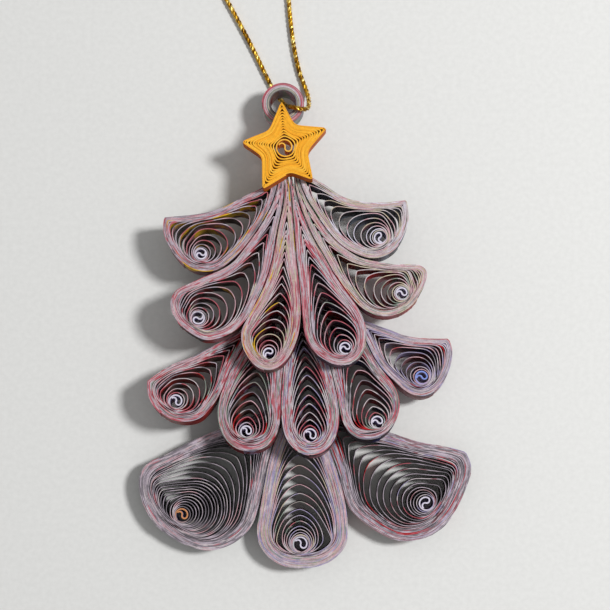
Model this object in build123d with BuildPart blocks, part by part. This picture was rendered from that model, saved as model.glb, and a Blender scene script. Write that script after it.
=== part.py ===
from build123d import *
import bisect
import math
import os

os.makedirs("parts", exist_ok=True)

# A Christmas tree ornament of quilled paper, lying on its back on a floor at z = 0.
# +X is the tree's right as it is seen, +Y is its top, and +Z faces the viewer.

# Driving dimensions in millimetres
strip_depth = 4.5
star_strip_depth = 3.0
strip_thickness = 0.25
star_strip_thickness = 0.2
band_thickness = 1.15
star_band_thickness = 0.7
glue_gap = 0.15
wall_gap = 0.2
floor_gap = 0.05
ring_outer_radius = 4.75
ring_hole_radius = 2.7
cord_diameter = 1.1
knot_diameter = 2.8
knot_length = 3.4

# How a pixel of the photograph becomes a place in plan: the camera looks straight down
mm_per_pixel = 0.2275
origin_pixel = (305.4, 327.9)
below_camera_pixel = (315.0, 440.0)
camera_height = 320.0

# A space between two turns is open where it is at least this wide, and its sides are drawn as arcs that are
# about this long in millimetres or turn this far in radians, except round a bend of more than these degrees
least_space = 0.18
arc_length = 4.5
arc_turning = 0.8
fewest_arcs = 4
sharpest_arc = 35

# How sharply a free turn goes over into the stack along the wall: with its coil's own roundness nearer to the
# tip than the first angle, and with this one beyond the second. Its places are then evened out in passes.
wall_roundness = 16
near_tip_angle = 0.5
beside_tip_angle = 1.9
smoothing_passes = 4

# How far the free turns would reach towards a tip and a corner, as a share of the way from the eye, how fast
# they spread towards a corner and a leaning side, and how far a corner's arch is drawn in
tip_share = 1.03
corner_share = 1.08
corner_spread = 1.5
corner_drawn_in = 0.8
lean_spread = 1.05
lean_drawn_in = 0
arch_rounding = 0.05

# A line that touches a turn counts in directions that face it by at least this cosine
least_facing = 0.05

# The least step from turn to turn as a share of the stack's, and the direction beyond which a turn's legs
# press against the stack
least_step = 0.6
leg_angle = 1.45


def plan_point(pixel, height):
    """A pixel that shows something at this height, as x and y in plan."""
    nearer = 1 - height / camera_height
    across = below_camera_pixel[0] + (pixel[0] - below_camera_pixel[0]) * nearer
    down = below_camera_pixel[1] + (pixel[1] - below_camera_pixel[1]) * nearer
    return Vector((across - origin_pixel[0]) * mm_per_pixel, (origin_pixel[1] - down) * mm_per_pixel)


def fan_plane(low_y, low_z, high_y, high_z):
    """The plane under a fan, which rises towards the tree's foot from one height to another."""
    tilt = math.atan2(high_z - low_z, low_y - high_y)
    normal = (0, math.sin(tilt), math.cos(tilt))
    return Plane(origin=(0, low_y, low_z), x_dir=(1, 0, 0), z_dir=normal)


def height_over(plane, y, depth):
    """How high a layer of this depth on a fan's plane reaches, above a place in plan."""
    slope = plane.z_dir.Y / plane.z_dir.Z
    return plane.origin.Z - (y - plane.origin.Y) * slope + depth / plane.z_dir.Z


def on_plane(pixel, plane, depth):
    """A pixel that shows the top edge of a layer, in the coordinates of the layer's plane."""
    rough = plan_point(pixel, 2 * strip_depth)
    seen = plan_point(pixel, height_over(plane, rough.Y, depth))
    along = (seen.Y - plane.origin.Y - depth * plane.z_dir.Y) / plane.z_dir.Z
    return Vector(seen.X, along)


# The fans: the back one lies flat, and each other one leans on the fan behind it
back_tips_pixel = (299, 404)
middle_tips_pixel = (297, 290)
inner_foot_pixel = (268, 370.5)
ring_pixel = (283, 103)

back_plane = Plane.XY
back_tips = plan_point(back_tips_pixel, strip_depth)
middle_tips = plan_point(middle_tips_pixel, strip_depth)
middle_plane = fan_plane(middle_tips.Y, floor_gap, back_tips.Y, strip_depth + glue_gap)
inner_foot = plan_point(inner_foot_pixel, 3 * strip_depth)
inner_foot_z = height_over(middle_plane, inner_foot.Y, strip_depth) + glue_gap
ring_place = plan_point(ring_pixel, strip_depth)
ring_top = ring_place.Y + ring_outer_radius
front_plane = fan_plane(ring_top, cord_diameter + 2 * glue_gap, inner_foot.Y, inner_foot_z)
star_plane = Plane(
    origin=front_plane.from_local_coords((0, 0, strip_depth + glue_gap)),
    x_dir=(1, 0, 0),
    z_dir=front_plane.z_dir,
)

# Lines that two neighbours in a fan share, from their tips down, in pixels of the photograph
front_line_1 = [(280, 172), (277, 188), (271, 206), (263, 221), (253, 236), (243, 249)]
front_line_2 = [(285, 172), (284.5, 190), (283, 206), (279.5, 221), (273.5, 253), (267, 278), (257, 300), (246, 320)]
front_line_3 = [(288.5, 172), (290.5, 190), (292, 206), (293.5, 221), (296, 253), (299, 278), (301, 300)]
front_line_4 = [(292, 172), (295.5, 190), (300, 206), (306, 221), (313, 237), (323, 254), (337, 278), (351, 297)]
front_line_5 = [(297, 172), (303, 190), (311, 206), (320, 220), (333, 237), (347, 249)]
middle_line_1 = [(258, 321), (249, 337), (241, 351), (233, 365), (222, 390)]
middle_line_2 = [(293.5, 290), (291, 308), (288, 328), (285, 350), (283, 372), (281.5, 395)]
middle_line_3 = [(300, 290), (308, 312), (318, 335), (327, 357), (333, 377), (337.5, 398)]
middle_line_4 = [(326, 300), (342, 311), (357, 326), (367, 343), (374, 357), (383, 370)]
back_line_1 = [(288, 408), (281, 425), (274.5, 442), (268.5, 462), (263.5, 487)]
back_line_2 = [(310, 408), (318, 425), (327, 442), (334, 460), (341, 483)]


def beside(line, side):
    """A shared line moved half the gap between two walls to one side, -1 for left and 1 for right."""
    shift = side * wall_gap / 2 / mm_per_pixel
    moved = []
    for index, (x, y) in enumerate(line):
        before = line[max(index - 1, 0)]
        after = line[min(index + 1, len(line) - 1)]
        run = math.dist(before, after)
        moved.append((x + shift * (after[1] - before[1]) / run, y - shift * (after[0] - before[0]) / run))
    return moved


def down(line):
    """The left wall of the coil to the right of a shared line, from its tip."""
    return beside(line, 1)


def up(line):
    """The right wall of the coil to the left of a shared line, back to its tip."""
    return list(reversed(beside(line, -1)))


# Each coil: its plane, the middle of its eye and the eye's radius in pixels, how far the middle line
# from eye to tip bows to the left, its free turns, how fast their tops spread, how far their shoulders are
# drawn in and how round they leave the wall, its band, the share of its turns from which their legs press
# against the stack, and pixels of a corner and of a side that the turns stretch to.
# The outline runs from the tip's left side round the foot to the tip's right side, cut at a sharp corner.
coils = {
    "row1_left_coil": dict(
        plane=front_plane, eye=(201, 254), eye_radius=6, bow=-5.5, turns=11, spread=1.7,
        drawn_in=0.0, roundness=6, band=band_thickness, legs=1.0, corner=(164, 217), lean=None,
        outline=[
            [(275, 174), (262, 187), (246, 195), (227, 205), (207, 212), (188, 215), (164, 217)],
            [(164, 217), (163, 228), (170, 248), (180, 261), (191, 269), (204, 272), (217, 270), (229, 262.5)]
            + up(front_line_1),
        ],
    ),
    "row1_right_coil": dict(
        plane=front_plane, eye=(380, 237), eye_radius=6.5, bow=8, turns=10, spread=1.6,
        drawn_in=0.0, roundness=6, band=band_thickness, legs=1.0, corner=(407, 199), lean=None,
        outline=[
            down(front_line_5)
            + [(358, 254.5), (370, 258), (383, 256.5), (395, 249), (404, 236), (409, 220), (407, 199)],
            [(407, 199), (393, 201), (376, 202), (356, 200), (341, 195), (328, 186), (316, 179), (303, 172)],
        ],
    ),
    "row2_left_coil": dict(
        plane=front_plane, eye=(198, 318), eye_radius=7, bow=-20, turns=11, spread=1.5,
        drawn_in=0.0, roundness=5, band=band_thickness, legs=1.0, corner=(171, 300), lean=None,
        outline=[
            down(front_line_1)
            + [(234, 260.5), (222, 269), (203, 277), (188, 284), (175, 291.5), (170.5, 301), (175, 318)]
            + [(183, 328), (193, 335), (204, 340), (217, 339), (228, 335), (238, 328.5)]
            + up(front_line_2),
        ],
    ),
    "row2_inner_left_coil": dict(
        plane=front_plane, eye=(269, 353), eye_radius=6, bow=-6, turns=17, spread=1.35,
        drawn_in=0.0, roundness=4, band=band_thickness, legs=1.0, corner=None, lean=None,
        outline=[
            down(front_line_2)
            + [(241.5, 331), (241.5, 342), (246, 354), (255, 365), (268, 370.5), (281, 366), (291, 354)]
            + [(297, 340), (300.5, 322)]
            + up(front_line_3),
        ],
    ),
    "row2_inner_right_coil": dict(
        plane=front_plane, eye=(345.5, 347.6), eye_radius=6, bow=7, turns=15, spread=1.35,
        drawn_in=0.4, roundness=4, band=band_thickness, legs=1.0, corner=None, lean=None,
        outline=[
            down(front_line_3)
            + [(303, 322), (306, 338), (313, 350), (324, 359.5), (339, 365), (354, 362), (364, 351)]
            + [(367, 336), (363.5, 318)]
            + up(front_line_4),
        ],
    ),
    "row2_right_coil": dict(
        plane=front_plane, eye=(402, 293), eye_radius=6.5, bow=23, turns=10, spread=1.5,
        drawn_in=0.0, roundness=5, band=band_thickness, legs=1.0, corner=(427, 273), lean=None,
        outline=[
            down(front_line_4)
            + [(363, 308.5), (376, 315), (390, 316), (404, 311), (414, 303), (422, 291), (427, 279)]
            + [(426, 269), (419, 264.5), (400, 264), (385, 262.5), (371, 260), (358, 256)]
            + up(front_line_5),
        ],
    ),
    "row3_left_coil": dict(
        plane=middle_plane, eye=(176, 401), eye_radius=7, bow=-2, turns=9, spread=1.5,
        drawn_in=0.0, roundness=5, band=band_thickness, legs=1.0, corner=(147, 381), lean=None,
        outline=[
            [(254, 321), (248, 325), (236, 333), (222, 341), (206, 349), (191, 357), (173, 364), (147, 381)],
            [(147, 381), (149, 398), (156, 409), (164, 416), (175, 421), (187, 422), (199, 419), (211, 408)]
            + up(middle_line_1),
        ],
    ),
    "row3_inner_left_coil": dict(
        plane=middle_plane, eye=(246.5, 431), eye_radius=6, bow=7, turns=12, spread=1.3,
        drawn_in=0.5, roundness=4, band=band_thickness, legs=1.0, corner=None, lean=None,
        outline=[
            [(289, 291), (278, 298), (267, 309)]
            + down(middle_line_1)
            + [(217.5, 410), (220, 428), (227, 441), (238, 449), (252, 451.5), (266, 447), (276, 436), (280.5, 418)]
            + up(middle_line_2),
        ],
    ),
    "row3_middle_coil": dict(
        plane=middle_plane, eye=(310.4, 434.8), eye_radius=7, bow=-2.5, turns=12, spread=1.3,
        drawn_in=0.9, roundness=4, band=band_thickness, legs=1.0, corner=None, lean=None,
        outline=[
            down(middle_line_2)
            + [(281.5, 416), (283.5, 431), (289, 443), (299, 452), (311, 455.5), (324, 452), (334, 441), (339.5, 420)]
            + up(middle_line_3),
        ],
    ),
    "row3_inner_right_coil": dict(
        plane=middle_plane, eye=(377.6, 421.6), eye_radius=6.5, bow=-8, turns=11, spread=1.3,
        drawn_in=0.6, roundness=4, band=band_thickness, legs=1.0, corner=None, lean=None,
        outline=[
            down(middle_line_3)
            + [(342, 419), (349, 432), (359.5, 438.5), (371, 439.5), (384, 435), (394, 424), (400, 408), (396, 388)]
            + up(middle_line_4) + [(307, 291)],
        ],
    ),
    "row3_right_coil": dict(
        plane=middle_plane, eye=(422, 377), eye_radius=7, bow=-2, turns=9, spread=1.4,
        drawn_in=0.0, roundness=5, band=band_thickness, legs=1.0, corner=(449, 338), lean=None,
        outline=[
            down(middle_line_4)
            + [(394, 381), (406, 391), (420, 396), (435, 391), (445, 380), (451, 366), (453, 350), (449, 338)],
            [(449, 338), (429, 338), (406, 335), (389, 329), (372, 323), (358, 316), (344, 306.5), (330, 298)],
        ],
    ),
    "row4_left_coil": dict(
        plane=back_plane, eye=(182, 515), eye_radius=7, bow=-1, turns=13, spread=2.1,
        drawn_in=0.0, roundness=5, band=1.7, legs=1.0, corner=(143, 470), lean=(254, 478),
        outline=[
            [(284, 404), (262, 412), (240, 421), (218, 429.5), (189, 442), (160, 457), (147, 463.5), (139.5, 476)]
            + [(142, 501), (154, 523), (171, 538), (189, 547), (208, 551), (227, 547), (243, 537), (254, 522)]
            + [(259, 506)] + up(back_line_1),
        ],
    ),
    "row4_middle_coil": dict(
        plane=back_plane, eye=(300.7, 544), eye_radius=8, bow=0.5, turns=15, spread=1.95,
        drawn_in=0.3, roundness=5, band=2.4, legs=0.45, corner=None, lean=None,
        outline=[
            down(back_line_1)
            + [(259.5, 512), (257, 531), (261, 548), (270, 558.5), (284, 566), (302, 568.5), (322, 566)]
            + [(337, 557.5), (346.5, 545), (348.5, 529), (346.5, 508)]
            + up(back_line_2),
        ],
    ),
    "row4_right_coil": dict(
        plane=back_plane, eye=(426, 503), eye_radius=7.5, bow=8, turns=12, spread=2.0,
        drawn_in=0.0, roundness=5, band=1.6, legs=1.0, corner=(457, 456), lean=(352, 478),
        outline=[
            down(back_line_2)
            + [(349, 507.5), (363, 522), (381, 534), (397, 540.5), (412, 541), (434, 534), (449, 521), (461, 502)]
            + [(468, 485), (472, 468), (466, 451.5)],
            [(466, 451.5), (450, 447), (418, 441), (396, 434), (380, 429), (352, 419), (332, 410), (315, 404)],
        ],
    ),
}


class Spine:
    """The bowed middle line of a coil: places are told by how far along it and how far left of it they lie."""

    def __init__(self, eye, tip, bow):
        chord = tip - eye
        left = Vector(-chord.Y, chord.X).normalized()
        self.radius = (chord.length ** 2 / 4 + bow ** 2) / (2 * bow)
        self.center = (eye + tip) * 0.5 - left * (self.radius - bow)
        self.start = math.atan2(eye.Y - self.center.Y, eye.X - self.center.X)

    def straightened(self, point):
        """The place of a point as distances along and left of the spine."""
        arm = point - self.center
        turn = self.start - math.atan2(arm.Y, arm.X)
        turn = (turn + math.pi) % (2 * math.pi) - math.pi
        return self.radius * turn, math.copysign(math.hypot(arm.X, arm.Y), self.radius) - self.radius

    def bent(self, along, left):
        """The point at these distances along and left of the spine."""
        angle = self.start - along / self.radius
        reach = abs(left + self.radius)
        return Vector(self.center.X + reach * math.cos(angle), self.center.Y + reach * math.sin(angle))


# Directions from the eye, all round, closest together towards the tip at zero
side_angles = [math.pi * (step / 70) ** 1.7 for step in range(1, 70)]
all_angles = [-angle for angle in reversed(side_angles)] + [0] + side_angles
facing = [[math.cos(angle - other) for other in all_angles] for angle in all_angles]
rim_steps = 260
ray_steps = 44


def rim_reach(rim, spine):
    """How far the outline lies from the eye in every direction."""
    places = sorted((math.atan2(left, along), math.hypot(along, left)) for along, left in map(spine.straightened, rim))
    places = [(places[-1][0] - math.tau, places[-1][1])] + places + [(places[0][0] + math.tau, places[0][1])]
    angles = [angle for angle, reach in places]
    reaches = []
    for angle in all_angles:
        index = bisect.bisect(angles, angle)
        before, after = places[index - 1], places[index]
        share = (angle - before[0]) / (after[0] - before[0])
        reaches.append(before[1] + share * (after[1] - before[1]))
    return reaches


def wall_rays(rim, spine):
    """Along each direction from the eye, places from the outline inwards, each with its distance from the wall."""
    rays = []
    for angle, reach in zip(all_angles, rim_reach(rim, spine)):
        ray = []
        for step in range(ray_steps + 1):
            distance = reach * (1 - step / ray_steps)
            place = spine.bent(distance * math.cos(angle), distance * math.sin(angle))
            ray.append((distance, min(math.hypot(place.X - point.X, place.Y - point.Y) for point in rim)))
        rays.append(ray)
    return rays


def wall_inside(rays, inset):
    """How far from the eye a line runs that keeps this distance from the wall, in every direction."""
    reaches = []
    for ray in rays:
        reach = ray[-1][0]
        for outer, inner in zip(ray, ray[1:]):
            if inner[1] >= inset:
                share = min(max((inset - outer[1]) / max(inner[1] - outer[1], 0.001), 0), 1)
                reach = outer[0] + share * (inner[0] - outer[0])
                break
        reaches.append(reach)
    return reaches


def arch(angle, top, foot, drawn_in):
    """How far from the eye a free turn lies, at this angle beside its top.

    It is a circle through the top and through the foot on the eye's other side, drawn in beside the top.
    """
    middle = (top - foot) / 2
    circle = middle * math.cos(angle) + math.sqrt(((top + foot) / 2) ** 2 - (middle * math.sin(angle)) ** 2)
    beside_top = (math.hypot(math.sin(angle), arch_rounding) - arch_rounding) * max(math.cos(angle), 0)
    return circle / (1 + drawn_in * (1 - foot / top) * beside_top)


def stretched_tight(turn):
    """A strip pulled tight round a turn: the least distance to the lines that touch it from outside."""
    touching = []
    for row in facing:
        touching.append(max(reach * cosine for reach, cosine in zip(turn, row)))
    tight = []
    for row in facing:
        tight.append(min(reach / cosine for reach, cosine in zip(touching, row) if cosine > least_facing))
    return tight


def smoothed(turn):
    """A turn whose distances are evened out with their neighbours'."""
    for _ in range(smoothing_passes):
        last = len(turn) - 1
        turn = [
            (turn[max(index - 1, 0)] + 2 * distance + turn[min(index + 1, last)]) / 4
            for index, distance in enumerate(turn)
        ]
    return turn


def turns_of(rim, spine, eye_radius, count, band, arches, roundness, legs):
    """The free turns and the band's inner side, each as its distance from the eye in every direction.

    A turn lies in the tight stack along the wall, and leaves it in an arch towards each of its points, pulled
    tight from one to the next. Each of the arches is told by its direction, how far it could reach, how the
    tops spread and how far it is drawn in. Turns past the share that legs gives press against the stack.
    """
    rays = wall_rays(rim, spine)
    pitch = (rays[0][-1][1] - band - eye_radius) / count
    turns = [[eye_radius] * len(all_angles)]
    for number in range(1, count):
        share = number / count
        foot = eye_radius + number * pitch
        tops = [max(eye_radius + (reach - eye_radius) * share**spread, foot) for _, reach, spread, _ in arches]
        walls = wall_inside(rays, band + (count - number) * pitch)
        free = []
        for angle, wall in zip(all_angles, walls):
            farthest = wall if share > legs and abs(angle) > leg_angle else foot
            for top, (direction, reach, spread, drawn_in) in zip(tops, arches):
                farthest = max(farthest, arch(math.remainder(angle - direction, math.tau), top, foot, drawn_in))
            free.append(farthest)
        turn = []
        for angle, wall, loose, inner in zip(all_angles, walls, stretched_tight(free), turns[-1]):
            aside = min(max((abs(angle) - near_tip_angle) / (beside_tip_angle - near_tip_angle), 0), 1)
            power = roundness + (wall_roundness - roundness) * aside**2 * (3 - 2 * aside)
            loose = max(loose, inner + least_step * pitch)
            turn.append(wall * (1 + (wall / loose) ** power) ** (-1 / power))
        turns.append(smoothed(turn))
    turns.append(smoothed(wall_inside(rays, band)))
    return turns


def leaning(turn):
    """How much longer a step across the turn is when it is taken along a direction from the eye."""
    factors = []
    last = len(turn) - 1
    for index, distance in enumerate(turn):
        before, after = max(index - 1, 0), min(index + 1, last)
        change = (turn[after] - turn[before]) / (all_angles[after] - all_angles[before])
        factors.append(math.hypot(1, change / distance))
    return factors


def spaces_between(inner, outer, spine, thickness):
    """The open spaces between two turns, each as the arcs of its outer side and its inner side."""
    runs = [[]]
    for angle, near, far, near_lean, far_lean in zip(all_angles, inner, outer, leaning(inner), leaning(outer)):
        near += thickness / 2 * near_lean
        far -= thickness / 2 * far_lean
        if (far - near) / max(near_lean, far_lean) < least_space:
            runs.append([])
            continue
        outside = spine.bent(far * math.cos(angle), far * math.sin(angle))
        inside = spine.bent(near * math.cos(angle), near * math.sin(angle))
        runs[-1].append((outside, inside))
    if len(runs) > 1 and runs[0] and runs[-1]:
        runs[0] = runs.pop() + runs[0]
    spaces = []
    for run in runs:
        if len(run) > 3 and max((outside - inside).length for outside, inside in run) > 2 * least_space:
            spaces.append(arcs_along(run))
    return spaces


def arcs_along(pairs):
    """A space's sides cut into arcs: the pairs of points where each one starts, has its middle and ends."""
    lengths = [0]
    costs = [0]
    headings = None
    for before, after in zip(pairs, pairs[1:]):
        steps = [after[side] - before[side] for side in (0, 1)]
        now = [math.atan2(step.Y, step.X) for step in steps]
        turned = max(abs(math.remainder(new - old, math.tau)) for new, old in zip(now, headings or now))
        headings = now
        lengths.append(lengths[-1] + steps[0].length)
        costs.append(costs[-1] + steps[0].length / arc_length + turned / arc_turning)
    count = max(fewest_arcs, math.ceil(costs[-1]))
    ends = [0]
    for number in range(1, count + 1):
        index = min(bisect.bisect_left(costs, costs[-1] * number / count), len(pairs) - 1)
        if index > ends[-1] + 1:
            ends.append(index)
    ends[-1] = len(pairs) - 1
    arcs = []
    for start, end in zip(ends, ends[1:]):
        middle = bisect.bisect_left(lengths, (lengths[start] + lengths[end]) / 2)
        arcs.append((pairs[start], pairs[min(max(middle, start + 1), end - 1)], pairs[end]))
    return arcs


# The fourteen pinched coils
for name, coil_data in coils.items():
    plane = coil_data["plane"]
    runs = [[on_plane(pixel, plane, strip_depth) for pixel in run] for run in coil_data["outline"]]
    eye = on_plane(coil_data["eye"], plane, strip_depth)
    tip = (runs[0][0] + runs[-1][-1]) * 0.5
    spine = Spine(eye, tip, coil_data["bow"] * mm_per_pixel)
    eye_radius = coil_data["eye_radius"] * mm_per_pixel
    arches = [(0, (tip - eye).length * tip_share, coil_data["spread"], coil_data["drawn_in"])]
    for way, spread, drawn_in in (("corner", corner_spread, corner_drawn_in), ("lean", lean_spread, lean_drawn_in)):
        if coil_data[way]:
            along, left = spine.straightened(on_plane(coil_data[way], plane, strip_depth))
            arches.append((math.atan2(left, along), math.hypot(along, left) * corner_share, spread, drawn_in))
    with BuildPart() as coil:
        with BuildSketch(plane):
            with BuildLine() as outline:
                for run in runs:
                    Spline(*run)
                Line(runs[-1][-1], runs[0][0])
            make_face()
            wire = outline.wires()[0]
            rim = [wire.position_at((step + 0.5) / rim_steps) for step in range(rim_steps)]
            turns = turns_of(
                rim, spine, eye_radius, coil_data["turns"], coil_data["band"], arches,
                coil_data["roundness"], coil_data["legs"],
            )
            with Locations(eye):
                Circle(eye_radius - strip_thickness / 2, mode=Mode.SUBTRACT)
            for inner, outer in zip(turns, turns[1:]):
                for space in spaces_between(inner, outer, spine, strip_thickness):
                    with BuildLine():
                        for side in (0, 1):
                            for arc in space:
                                points = [pair[side] for pair in arc]
                                if (points[1] - points[0]).get_angle(points[2] - points[1]) < sharpest_arc:
                                    ThreePointArc(*points)
                                else:
                                    Polyline(*points)
                        Line(*space[0][0])
                        Line(*space[-1][-1])
                    make_face(mode=Mode.SUBTRACT)
        extrude(amount=strip_depth)
    coil.part.label = name
    export_step(coil.part, f"parts/{name}.step")
    print(name, round(coil.part.volume, 1), len(coil.part.faces()))


# The star: one strip whose turns keep to the wall and leave a space in each of its five points
star_eye_pixel = (285, 147)
star_eye_radius = 2.1
star_turns = 7
star_tip_share = 0.9
star_drawn_in = 0.8
star_roundness = 12
star_tip_rounding = 0.5
star_pixels = [
    (282, 103), (269, 130), (243, 142), (262, 156), (263, 186),
    (291, 173), (312, 180), (309, 150), (326, 128), (295.5, 124),
]
star_points = [on_plane(pixel, star_plane, star_strip_depth) for pixel in star_pixels]
star_eye = on_plane(star_eye_pixel, star_plane, star_strip_depth)
star_spine = Spine(star_eye, star_points[0], 0.01)
star_arches = []
for point in star_points[0::2]:
    along, left = star_spine.straightened(point)
    reach = math.hypot(along, left) * star_tip_share
    star_arches.append((math.atan2(left, along), reach, 1, star_drawn_in))
with BuildPart() as star:
    with BuildSketch(star_plane):
        with BuildLine() as outline:
            FilletPolyline(*star_points, radius=star_tip_rounding, close=True)
        make_face()
        wire = outline.wires()[0]
        rim = [wire.position_at((step + 0.5) / rim_steps) for step in range(rim_steps)]
        turns = turns_of(
            rim, star_spine, star_eye_radius, star_turns, star_band_thickness, star_arches, star_roundness, 1
        )
        with Locations(star_eye):
            Circle(star_eye_radius - star_strip_thickness / 2, mode=Mode.SUBTRACT)
        for inner, outer in zip(turns, turns[1:]):
            for space in spaces_between(inner, outer, star_spine, star_strip_thickness):
                with BuildLine():
                    for side in (0, 1):
                        for arc in space:
                            points = [pair[side] for pair in arc]
                            if (points[1] - points[0]).get_angle(points[2] - points[1]) < sharpest_arc:
                                ThreePointArc(*points)
                            else:
                                Polyline(*points)
                    Line(*space[0][0])
                    Line(*space[-1][-1])
                make_face(mode=Mode.SUBTRACT)
    extrude(amount=star_strip_depth)
star.part.label = "star"
export_step(star.part, "parts/star.step")
print("star", round(star.part.volume, 1), len(star.part.faces()))

# The hanging ring: a strip wound tight, with shallow seams between groups of its turns
ring_center = on_plane(ring_pixel, front_plane, strip_depth)
seam_radii = [3.2, 3.75, 4.25]
seam_width = 0.1
seam_depth = 0.25
with BuildPart() as hanging_ring:
    with BuildSketch(front_plane):
        with Locations(ring_center):
            Circle(ring_outer_radius)
            Circle(ring_hole_radius, mode=Mode.SUBTRACT)
    extrude(amount=strip_depth)
    with BuildSketch(front_plane.offset(strip_depth)):
        with Locations(ring_center):
            for radius in seam_radii:
                Circle(radius + seam_width / 2)
                Circle(radius - seam_width / 2, mode=Mode.SUBTRACT)
    extrude(amount=-seam_depth, mode=Mode.SUBTRACT)
hanging_ring.part.label = "hanging_ring"
export_step(hanging_ring.part, "parts/hanging_ring.step")
print("hanging_ring", round(hanging_ring.part.volume, 1), len(hanging_ring.part.faces()))

# The cord's route from the knot down the left strand, through the ring and back up the right strand.
# Beside the ring its points are told from the middle of the ring's front, elsewhere in pixels at the floor.
cord_floor_z = cord_diameter / 2 + floor_gap
ring_front = front_plane.from_local_coords(Vector(ring_center.X, ring_center.Y, strip_depth))
over_ring_z = ring_front.Z + cord_diameter / 2 + 3 * glue_gap
knot_pixel = (250, -190)
end_spacing = cord_diameter + glue_gap
knot_axis_z = knot_diameter / 2 + floor_gap


def at_ring(right, up_by, height):
    """A point this far right of and up from the ring's middle."""
    return Vector(ring_front.X + right, ring_front.Y + up_by, height)


def on_floor(pixel):
    """A point of the cord's middle line where it lies on the floor."""
    place = plan_point(pixel, cord_floor_z)
    return Vector(place.X, place.Y, cord_floor_z)


knot_face = on_floor(knot_pixel)
end_z = knot_axis_z - 0.4
cord_route = [
    Vector(knot_face.X - end_spacing / 2, knot_face.Y, end_z),
    Vector(knot_face.X - end_spacing / 2, knot_face.Y - 8.0, end_z),
    on_floor((218, -95)),
    on_floor((206, -38)),
    on_floor((250, 42)),
    at_ring(-2.45, 4.35, cord_floor_z),
    at_ring(-0.38, 0.73, cord_floor_z),
    at_ring(1.3, -1.05, over_ring_z),
    at_ring(5.6, -2.0, over_ring_z),
    at_ring(6.3, 0.0, 4.0),
    at_ring(5.8, 3.6, cord_floor_z),
    at_ring(3.3, 8.9, cord_floor_z),
    on_floor((291, 30)),
    on_floor((287, -25)),
    on_floor((276, -110)),
    Vector(knot_face.X + end_spacing / 2, knot_face.Y - 9.0, end_z),
    Vector(knot_face.X + end_spacing / 2, knot_face.Y, end_z),
]
bend_share = 0.45
cord_radii = []
for before, here, after in zip(cord_route, cord_route[1:], cord_route[2:]):
    turn = math.radians((here - before).get_angle(after - here))
    shorter = min((here - before).length, (after - here).length)
    cord_radii.append(bend_share * shorter / math.tan(turn / 2))
with BuildPart() as hanging_cord:
    with BuildLine() as route:
        FilletPolyline(*cord_route, radius=cord_radii)
    with BuildSketch(Plane(origin=cord_route[0], z_dir=cord_route[1] - cord_route[0])):
        Circle(cord_diameter / 2)
    sweep()
hanging_cord.part.label = "hanging_cord"
export_step(hanging_cord.part, "parts/hanging_cord.step")
cord_length = sum(edge.length for edge in route.edges())
cord_section = math.pi * cord_diameter**2 / 4
print("hanging_cord radii", [round(radius, 1) for radius in cord_radii])
print("hanging_cord length", round(cord_length, 2), "volume", round(hanging_cord.part.volume, 2))
print("hanging_cord section times length", round(cord_section * cord_length, 2))

# The knot that closes the cord's loop: both ends meet its lower face
knot_rounding = 0.9
knot_near_rounding = 0.15
with BuildPart() as cord_knot:
    with BuildSketch(Plane(origin=(knot_face.X, knot_face.Y, knot_axis_z), z_dir=(0, 1, 0))):
        Circle(knot_diameter / 2)
    extrude(amount=knot_length)
    fillet(cord_knot.faces().sort_by(Axis.Y)[-1].edges(), radius=knot_rounding)
    fillet(cord_knot.faces().sort_by(Axis.Y)[0].edges(), radius=knot_near_rounding)
cord_knot.part.label = "cord_knot"
export_step(cord_knot.part, "parts/cord_knot.step")
print("cord_knot", round(cord_knot.part.volume, 1))
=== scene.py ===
import math
import bpy
import bmesh
import numpy as np
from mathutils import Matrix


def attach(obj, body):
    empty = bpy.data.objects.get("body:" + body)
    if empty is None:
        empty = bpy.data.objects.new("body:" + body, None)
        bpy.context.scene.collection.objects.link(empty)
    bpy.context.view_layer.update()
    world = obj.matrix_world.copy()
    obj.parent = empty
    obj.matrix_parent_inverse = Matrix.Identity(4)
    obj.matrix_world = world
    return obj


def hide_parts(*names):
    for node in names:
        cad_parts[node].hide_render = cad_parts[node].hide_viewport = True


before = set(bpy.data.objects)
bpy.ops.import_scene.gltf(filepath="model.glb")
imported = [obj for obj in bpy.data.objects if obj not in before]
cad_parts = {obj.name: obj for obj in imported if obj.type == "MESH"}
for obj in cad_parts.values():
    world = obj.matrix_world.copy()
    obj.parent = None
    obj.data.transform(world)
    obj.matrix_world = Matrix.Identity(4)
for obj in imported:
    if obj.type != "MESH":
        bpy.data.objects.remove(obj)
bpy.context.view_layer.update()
mm = 0.001

# How a pixel of the photograph becomes a place in plan, in millimetres: the camera looks straight down
photo = {
    "mmPerPixel": 0.2275,
    "originPixel": (305.4, 327.9),
    "belowCamera": (315.0, 440.0),
    "cameraHeight": 320.0,
    "pixels": 610,
}


def planPoints(pixels, height):
    # a pixel moves towards the one below the camera by its height's share of the camera's height
    pixels = np.atleast_2d(np.asarray(pixels, float))
    foot = np.array(photo["belowCamera"])
    at = foot + (pixels - foot) * (1 - np.asarray(height) / photo["cameraHeight"]).reshape(-1, 1)
    origin = np.array(photo["originPixel"])
    return (at - origin) * np.array([1, -1]) * photo["mmPerPixel"]


def setInputs(tree, node, inputs):
    # each input of a node gets its value, or a link where the value comes from another node
    for name, value in inputs.items():
        socket = node.inputs[name]
        if isinstance(value, bpy.types.NodeSocket):
            tree.links.new(value, socket)
        else:
            socket.default_value = value


def nodeIn(tree, kind, inputs=None, **settings):
    node = tree.nodes.new("ShaderNode" + kind)
    for name, value in settings.items():
        setattr(node, name, value)
    setInputs(tree, node, inputs or {})
    return node


def calculated(tree, operation, first, second):
    return nodeIn(tree, "Math", {0: first, 1: second}, operation=operation).outputs[0]


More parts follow.
